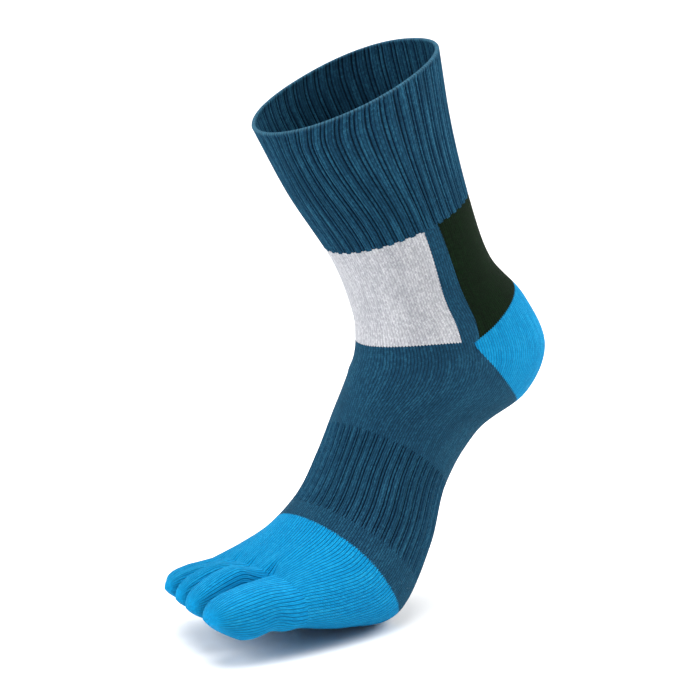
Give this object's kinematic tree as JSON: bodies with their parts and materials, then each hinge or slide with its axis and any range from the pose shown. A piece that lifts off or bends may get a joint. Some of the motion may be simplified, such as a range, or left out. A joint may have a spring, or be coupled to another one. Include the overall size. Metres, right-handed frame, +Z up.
{
  "type": "toe sock",
  "caption": "Ankle-high knitted sock for a right foot held on tiptoe, with a ribbed cuff, colour blocks, contrast heel, ribbed arch band and a pocket for each toe.",
  "frame": {"origin": "centre of the leg opening, where the leg goes in", "axes": "+Z up, the toes towards -X, the heel towards +X, the big-toe side towards -Y"},
  "size_m": [0.214, 0.0836, 0.2689],
  "materials": {
    "teal_rib": "three-by-one ribbed knit in mottled dark teal yarn",
    "grey_knit": "plain knit in pale grey marl yarn",
    "green_knit": "plain knit in very dark green yarn",
    "teal_knit": "plain knit in mottled dark teal yarn",
    "blue_heel": "plain knit in bright blue yarn",
    "arch_rib": "elastic ribbed knit in mottled dark teal yarn",
    "blue_knit": "fine plain knit in bright blue yarn",
    "toe_knit": "fine plain knit in bright blue yarn"
  },
  "bodies": {
    "root": {"cuff": "teal_rib", "front_block": "grey_knit", "back_block": "green_knit", "ankle": "teal_knit", "heel_pocket": "blue_heel", "arch_band": "arch_rib", "midfoot": "teal_knit", "forefoot": "blue_knit", "big_toe": "toe_knit", "second_toe": "toe_knit", "third_toe": "toe_knit", "fourth_toe": "toe_knit", "little_toe": "toe_knit"}
  },
  "joints": []
}
